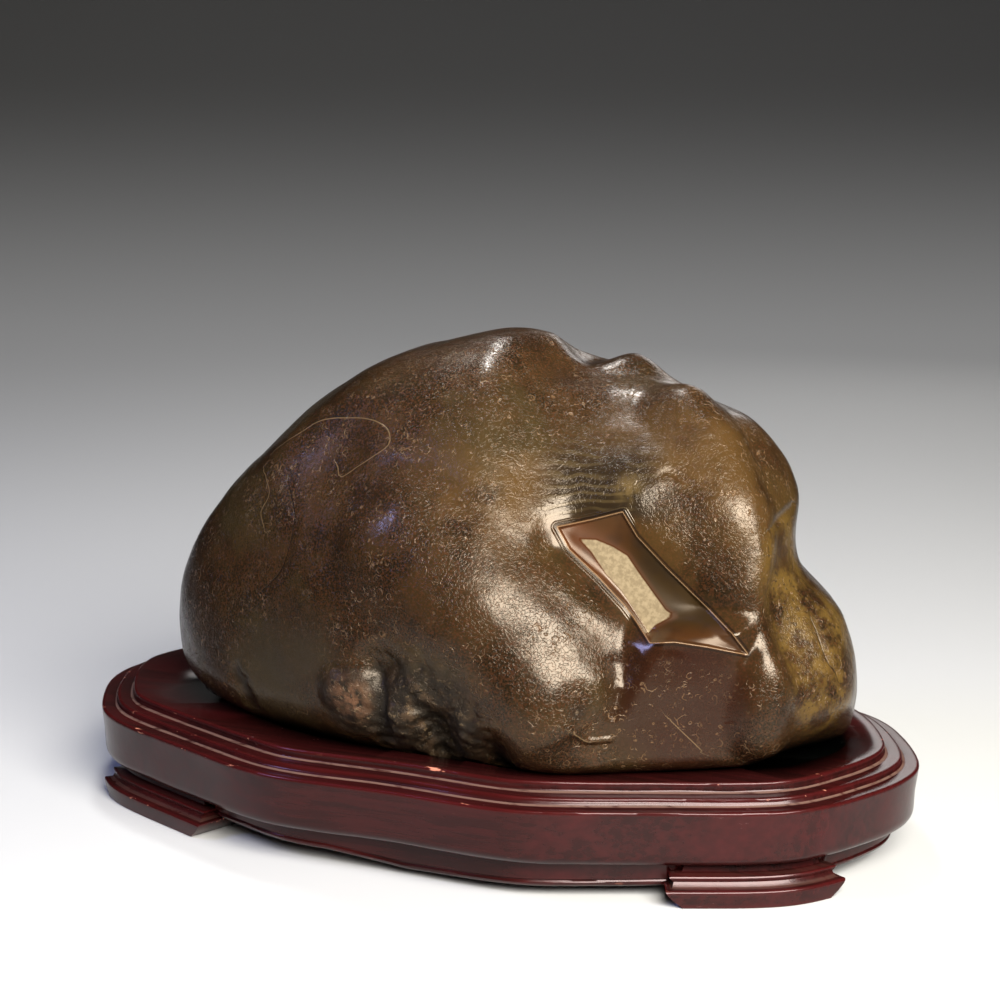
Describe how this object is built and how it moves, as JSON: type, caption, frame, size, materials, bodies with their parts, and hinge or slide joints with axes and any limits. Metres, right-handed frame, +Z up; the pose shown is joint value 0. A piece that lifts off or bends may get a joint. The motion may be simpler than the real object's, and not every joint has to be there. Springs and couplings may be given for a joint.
{
  "type": "scholar's rock on a wooden stand",
  "caption": "Waxed brown river stone with a sunk, banded agate-like window, resting in a lobed, stepped dark wood stand on low scrolled feet.",
  "frame": {"origin": "middle of the stand's outline, on the surface its feet stand on", "axes": "+X along the stand's long side, to the right of someone in front; -Y faces the front; +Z up"},
  "size_m": [0.45, 0.265, 0.2508],
  "materials": {
    "stone": "waxed and hand polished, semi-gloss",
    "stand_wood": "dark red lacquer, worn at the edges"
  },
  "bodies": {
    "root": {"stone": "stone", "stand_board": "stand_wood", "stand_apron": "stand_wood", "foot_front_left": "stand_wood", "foot_front_right": "stand_wood", "foot_back_left": "stand_wood", "foot_back_right": "stand_wood"}
  },
  "joints": []
}
